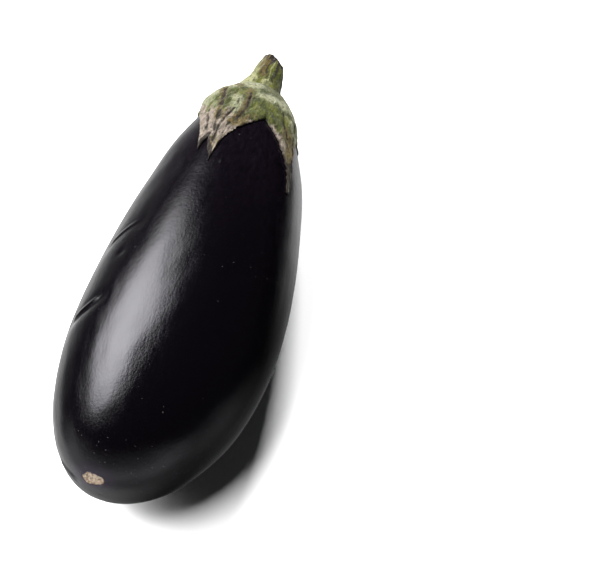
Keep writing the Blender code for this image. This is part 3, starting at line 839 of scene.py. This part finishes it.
def stalk_masks(theta, grown, spot):
    """How dry, bloomed, brown and dark the wall is: strips that wander a little, painted shade in the
    furrows, a broad painted highlight on the side that faces the large light, a dark rim and a dry end.
    """
    wandering = theta + 0.10 * wander(spot, 76, 5 * MM)

    def strip(middle, half_width):
        return bell(turned(wandering, radians(middle)), half_width)

    blot = 0.5 + 0.5 * wander(spot * (1, 0.5, 1), 75, 4.5 * MM)
    fine = 0.5 + 0.5 * wander(spot * (1, 0.3, 1), 77, 1.6 * MM)
    # Painted shade in the stalk's furrows.
    furrows = 0.9 * strip(58, 0.10) + 0.6 * strip(12, 0.30) + 0.7 * strip(88, 0.07)
    furrows = furrows + 0.8 * strip(195, 0.15) + 0.8 * strip(262, 0.2) + 0.6 * strip(318, 0.15)
    browns = 1.3 * strip(99, 0.15) * smooth(grown * 4)
    browns = browns + 0.6 * strip(125, 0.3) * smooth((grown - 0.35) / 0.3) + 0.8 * strip(230, 0.2)
    greens = 1.2 * strip(34, 0.45) + 0.9 * strip(86, 0.16) + strip(290, 0.3)
    dry_end = smooth((grown - 0.80 + 0.34 * (fine - 0.5)) / 0.16)
    dark_rim = smooth((grown - 0.91 + 0.12 * (fine - 0.5)) / 0.05)
    cleft = np.clip(furrows * (0.35 + 0.6 * fine) * smooth(grown * 5), 0, 1)
    cleft = np.maximum(cleft, 0.6 * dry_end * smooth((fine - 0.5) * 6))
    # Pale bloomed patches: a broad painted highlight on the side that faces the large light, a thin pale
    # line, and a pale foot.
    bloom = 0.8 * strip(140, 0.55) + 0.9 * strip(75, 0.06) + 0.5 * smooth(1 - grown * 5)
    return {
        "dry": np.maximum(0.9 * dry_end, 0.7 * strip(-8, 0.2)),
        # Painted shade in the furrows, with the dark rim of the cut.
        "cleft": np.maximum(cleft, dark_rim),
        "bloom": np.clip(bloom + 0.7 * (blot - 0.5) - 0.9 * greens, -0.5, 1),
        "brown": np.clip(browns * (0.5 + 0.7 * fine) + 0.4 * (blot - 0.5), 0, 1),
    }


def build_stalk(form, settings):
    """The wall and the sunken face of the cut, as one tube of rings."""
    theta = np.linspace(0, 2 * math.pi, STALK_COLUMNS, endpoint=False)[None]
    share = np.linspace(STALK_FOOT, 1, STALK_ROWS)[:, None]
    grown = np.clip(share, 0, 1)
    spot = np.stack(np.broadcast_arrays(8 * MM * np.cos(theta), 13 * MM * grown, 8 * MM * np.sin(theta)), -1)
    level = form.above(JOINT_RADIUS, 0.0, np.array(0.0))[1] + 0.12 * MM + settings.collar
    wall = stalk_wall(form, settings, theta, share, spot, level)
    face = cut_face(wall[-1])
    ends = [[0.0, level - 1.0 * MM, 0.0], wall[-1].mean(0) - [0.0, CUT_DIP, 0.0]]
    points = np.concatenate([np.concatenate([wall, face]).reshape(-1, 3), ends])

    on_face = {"dry": 1.0, "cleft": 0.55, "bloom": 0.0, "brown": 0.6}
    masks = {
        label: np.concatenate([values.ravel(), np.full(face[..., 0].size, on_face[label]), [0.0, 0.6]])
        for label, values in stalk_masks(theta, grown, spot).items()
    }
    faces = tube_faces(STALK_ROWS + CUT_RINGS, STALK_COLUMNS)
    piece = make_piece("stalk_stem", points, *faces, masks, leaf_material("ribbed_stalk", settings))
    merge_seams(piece)
    dress(piece, "stalk")


# ---- the stage

LIT_MIDDLE = (0.0, -0.02, 0.04)

# Bright patches of the glowing sheet that paints the floor's reflection: x and y of the middle, half width,
# half length, and brightness.
SHINES = (
    (-0.060, 0.010, 0.070, 0.130, 0.95),
    (-0.085, -0.145, 0.060, 0.060, 0.95),
    (0.0, -0.165, 0.055, 0.050, 0.60),
    (0.055, 0.085, 0.030, 0.050, 1.15),
    (-0.30, 0.25, 0.25, 0.30, 0.22),
)

CAMERA_PLACE, CAMERA_LENS = (0.14350, -0.32864, 0.74954), 120.0
CAMERA_TILT, CAMERA_TURN = radians(26.0), radians(17.47)


def area_light(name, power, size, place, reflected=True):
    """A rectangular soft light that faces the fruit's middle."""
    data = bpy.data.lights.new(name, "AREA")
    data.shape = "RECTANGLE"
    data.size, data.size_y = size
    data.energy = power
    light = add_object(name, data)
    light.location = place
    way = Vector(LIT_MIDDLE) - Vector(place)
    light.rotation_euler = way.to_track_quat("-Z", "Y").to_euler()
    light.visible_glossy = reflected
    light.visible_camera = False
    return light


def oval_glow(light, half_width, half_length, lean, edge):
    """Gives the light a bright oval middle: its glow is 0.5 to the power r^edge, where r is 1 on an ellipse
    that leans sideways along its length."""
    data = light.data
    data.use_nodes = True
    wire = Wiring(data.node_tree)
    parts = wire.add("ShaderNodeSeparateXYZ")
    wire.feed(parts.inputs[0], wire.add("ShaderNodeNewGeometry").outputs["Parametric"])
    across = wire.times(wire.math("SUBTRACT", parts.outputs["X"], 0.5), data.size)
    along = wire.times(wire.math("SUBTRACT", parts.outputs["Y"], 0.5), data.size_y)
    across = wire.math("DIVIDE", wire.plus(across, wire.times(along, lean)), half_width)
    along = wire.math("DIVIDE", along, half_length)
    squares = wire.plus(wire.math("POWER", across, 2.0), wire.math("POWER", along, 2.0))
    glow = wire.math("POWER", 0.5, wire.math("POWER", squares, edge / 2))
    wire.feed(data.node_tree.nodes["Emission"].inputs["Strength"], glow)


def sweep(y):
    """How far up its curl the glowing sheet that paints reflections is at y: 0 where it is flat, 1 at the
    top.
    """
    return np.clip((-y - 0.7) / 1.3, 0, 1)


def painted_floor_reflection(x, y):
    """How bright the sheet glows at x and y, a painted reflection of the floor: the bright patches, a dim
    field to the right, a broad field in front that fades up the curl, and a painted shadow where the fruit
    rests."""
    shine = sum(glow * bell(x - at_x, wide) * bell(y - at_y, long) for at_x, at_y, wide, long, glow in SHINES)
    way = np.degrees(np.arctan2(x, -(y + 0.10)))
    right = smooth((x - 0.03) / 0.05) * smooth((0.0 - y) / 0.08) * (0.12 + 0.30 * smooth((x - 0.07) / 0.08))
    shine = shine + right * np.exp(-np.hypot(x, y) / 0.5)
    front = smooth((np.hypot(x, y + 0.10) - 0.03) / 0.25) * smooth((way + 90) / 30) * smooth((80 - way) / 30)
    front = front * np.exp(-sweep(y) / 0.6) * (1 - 0.5 * sweep(y) ** 2)
    shine = shine + 0.85 * front * smooth((-y - 0.09) / 0.06) * (1 - 0.25 * smooth((way - 5) / 30))
    # Painted shadow in the reflection: the glow dims where the fruit rests.
    return shine * (1 - 0.92 * bell(x - 0.021, 0.040) * bell(y + 0.098, 0.028))


def build_painted_reflection():
    """A grid just above the floor, curled up far in front, that only reflections see: it glows, though it is
    no lamp, and paints the floor's reflection.
    """
    steps = np.sinh(np.linspace(-3.2, 3.2, 121)) / math.sinh(3.2) * 2.0
    x, y = (axis.ravel() for axis in np.meshgrid(steps, steps))
    mesh = bpy.data.meshes.new("painted_reflection_sheet")
    points = np.stack([x, y, 1.0 * MM + 1.0 * sweep(y) ** 1.5], -1)
    mesh.from_pydata(points, [], grid_faces(len(steps), len(steps), closed=False).tolist())
    add_mask(mesh, "shine", painted_floor_reflection(x, y))
    material, wire, shader = new_material("painted_reflection_sheet")
    settle(shader, {"Base Color": (0.0, 0.0, 0.0, 1.0), "Specular IOR Level": 0.0})
    settle(shader, {"Emission Color": (1.0, 1.0, 1.0, 1.0)})
    wire.feed(shader.inputs["Emission Strength"], wire.mask("shine"))
    mesh.materials.append(material)
    piece = add_object("painted_reflection_sheet", mesh)
    piece.visible_camera = piece.visible_diffuse = piece.visible_shadow = False


def build_floor(floor_colour):
    mesh = bpy.data.meshes.new("floor")
    half = 4.0
    corners = [(-half, -half, 0), (half, -half, 0), (half, half, 0), (-half, half, 0)]
    mesh.from_pydata(corners, [], [(0, 1, 2, 3)])
    material, _, shader = new_material("studio_floor")
    settle(shader, {"Base Color": (*floor_colour, 1.0), "Roughness": 0.7, "Specular IOR Level": 0.2})
    mesh.materials.append(material)
    floor = add_object("floor", mesh)
    # Reflections see the glowing sheet that paints the floor's reflection, not the floor.
    floor.visible_glossy = False


def build_stage(settings):
    build_floor(settings.floor_colour)
    build_painted_reflection()

    # The large light's own Z is the way back from the fruit, and its Y lies along the fruit.
    back = Vector((-0.76, 0.20, 0.62)).normalized()
    across = Vector((0.1, 0.99, 0.0)).cross(back).normalized()
    turn = Matrix((across, back.cross(across), back)).transposed()
    centre = Vector(LIT_MIDDLE) + turn @ Vector((0.100, 0.000, 0.80))
    key = area_light("key_softbox", settings.key_power, (0.95, 1.30), centre)
    key.rotation_euler = turn.to_euler()
    oval_glow(key, 0.315, 0.465, 0.030, 3.4)
    area_light("top_fill", settings.top_power, (0.40, 0.40), (-0.34, -0.40, 1.38), reflected=False)
    area_light("back_fill", settings.back_power, (0.30, 0.30), (-0.08, 0.84, 1.00), reflected=False)

    world = bpy.data.worlds.new("studio")
    world.use_nodes = True
    glow = {"Color": (1.0, 1.0, 1.0, 1.0), "Strength": settings.world_glow}
    settle(world.node_tree.nodes["Background"], glow)
    bpy.context.scene.world = world
    bpy.context.scene.view_settings.view_transform = "Standard"


def build_camera():
    data = bpy.data.cameras.new("camera")
    data.lens, data.sensor_width = CAMERA_LENS, 36.0
    camera = add_object("camera", data)
    camera.location = CAMERA_PLACE
    camera.rotation_euler = (CAMERA_TILT, 0.0, CAMERA_TURN)
    bpy.context.scene.camera = camera


# ---- settings


def size(name, description, default):
    return FloatProperty(
        name=name, description=description, default=default, min=0.0, unit="LENGTH", precision=4
    )


def power(name, description, default):
    return FloatProperty(name=name, description=description, default=default, min=0.0, unit="POWER")


def colour(name, description, default):
    return FloatVectorProperty(
        name=name, description=description, default=default, size=3, min=0.0, max=1.0, subtype="COLOR"
    )


class FruitSettings(bpy.types.PropertyGroup):
    length: size("Length", "From the blossom pole to the undented shoulder", 197.6 * MM)
    width: size("Width", "Across the fullest part", 80.0 * MM)
    bend: size("Bend", "How far the axis sways sideways", 5.2 * MM)
    skin_colour: colour("Skin", "The waxy skin", (0.0010, 0.0007, 0.0013))
    flush_colour: colour("Flush", "The purple under the calyx", (0.0030, 0.0018, 0.0036))
    scar_colour: colour("Scar", "The corky blossom scar", (0.33, 0.26, 0.185))


class CalyxSettings(bpy.types.PropertyGroup):
    thickness: size("Thickness", "Of the leafy cap", 1.5 * MM)
    fresh_colour: colour("Fresh", "Leaf that is still green", (0.062, 0.068, 0.012))
    deep_colour: colour("Deep", "The leaf's darker green", (0.018, 0.023, 0.003))
    # Also the colour of the painted light on the calyx.
    bloom_and_light_colour: colour("Bloom", "The pale grey-green bloom", (0.162, 0.166, 0.104))
    brown_colour: colour("Brown", "Brown strokes beside the clefts", (0.060, 0.045, 0.015))
    dry_colour: colour("Dry", "Leaf that has dried", (0.146, 0.119, 0.098))
    # Also the colour of the painted shade in the clefts.
    dark_colour: colour("Dark", "Clefts and freckles", (0.010, 0.007, 0.005))


class StalkSettings(bpy.types.PropertyGroup):
    length: size("Length", "From the calyx to the middle of the cut", 11.6 * MM)
    end_radius: size("End radius", "At the cut", 5.9 * MM)
    slant: size("Slant", "How much one side of the cut stands above its middle", 4.1 * MM)
    collar: size("Collar", "How high the stalk's foot stands above the skin", 4.2 * MM)
    fresh_colour: colour("Fresh", "The stalk's green", (0.078, 0.083, 0.014))
    deep_colour: colour("Deep", "The stalk's darker green", (0.024, 0.028, 0.002))
    # Also the colour of the stalk's painted highlight.
    bloom_and_light_colour: colour("Bloom", "The pale foot of the stalk", (0.160, 0.162, 0.080))
    brown_colour: colour("Brown", "Brown furrows", (0.056, 0.039, 0.009))
    dry_colour: colour("Dry", "The stalk's dry end", (0.210, 0.178, 0.160))
    # Also the colour of the painted shade in the stalk's furrows.
    dark_colour: colour("Dark", "The cut's rim", (0.008, 0.006, 0.006))


class StageSettings(bpy.types.PropertyGroup):
    floor_colour: colour("Floor", "The plain pale floor", (0.90, 0.90, 0.90))
    key_power: power("Key", "Power of the large soft light", 46.0)
    top_power: power("Top", "Power of the high top light", 25.0)
    back_power: power("Back", "Power of the light behind", 24.0)
    world_glow: FloatProperty(name="Glow", description="Light from all round", default=0.02, min=0.0)


def fruit_form(context):
    settings = context.scene.eggplant_fruit
    return Form(settings.length, settings.width, settings.bend)


class EGGPLANT_OT_fruit(bpy.types.Operator):
    """Build the glossy fruit"""

    bl_idname = "eggplant.fruit"
    bl_label = "Fruit"

    def execute(self, context):
        build_fruit(fruit_form(context), context.scene.eggplant_fruit)
        return {"FINISHED"}


class EGGPLANT_OT_calyx(bpy.types.Operator):
    """Build the leafy calyx"""

    bl_idname = "eggplant.calyx"
    bl_label = "Calyx"

    def execute(self, context):
        build_calyx(fruit_form(context), context.scene.eggplant_calyx)
        return {"FINISHED"}


class EGGPLANT_OT_stalk(bpy.types.Operator):
    """Build the ribbed stalk"""

    bl_idname = "eggplant.stalk"
    bl_label = "Stalk"

    def execute(self, context):
        build_stalk(fruit_form(context), context.scene.eggplant_stalk)
        return {"FINISHED"}


class EGGPLANT_OT_stage(bpy.types.Operator):
    """Build the floor, the lights and the camera"""

    bl_idname = "eggplant.stage"
    bl_label = "Stage"

    def execute(self, context):
        build_stage(context.scene.eggplant_stage)
        build_camera()
        return {"FINISHED"}


class EGGPLANT_PT_panel(bpy.types.Panel):
    bl_idname = "EGGPLANT_PT_panel"
    bl_label = "Eggplant"
    bl_space_type = "VIEW_3D"
    bl_region_type = "UI"
    bl_category = "Eggplant"

    def draw(self, context):
        for part in ("fruit", "calyx", "stalk", "stage"):
            box = self.layout.box()
            settings = getattr(context.scene, f"eggplant_{part}")
            for name in settings.bl_rna.properties.keys():
                if name not in ("rna_type", "name"):
                    box.prop(settings, name)
            box.operator(f"eggplant.{part}")


GROUPS = {
    "eggplant_fruit": FruitSettings,
    "eggplant_calyx": CalyxSettings,
    "eggplant_stalk": StalkSettings,
    "eggplant_stage": StageSettings,
}
CLASSES = (
    *GROUPS.values(),
    EGGPLANT_OT_fruit,
    EGGPLANT_OT_calyx,
    EGGPLANT_OT_stalk,
    EGGPLANT_OT_stage,
    EGGPLANT_PT_panel,
)


def register():
    for item in CLASSES:
        bpy.utils.register_class(item)
    for name, group in GROUPS.items():
        setattr(bpy.types.Scene, name, PointerProperty(type=group))


def unregister():
    for name in GROUPS:
        delattr(bpy.types.Scene, name)
    for item in reversed(CLASSES):
        bpy.utils.unregister_class(item)


def main():
    register()
    bpy.ops.eggplant.fruit()
    bpy.ops.eggplant.calyx()
    bpy.ops.eggplant.stalk()
    bpy.ops.eggplant.stage()


if __name__ == "__main__":
    main()
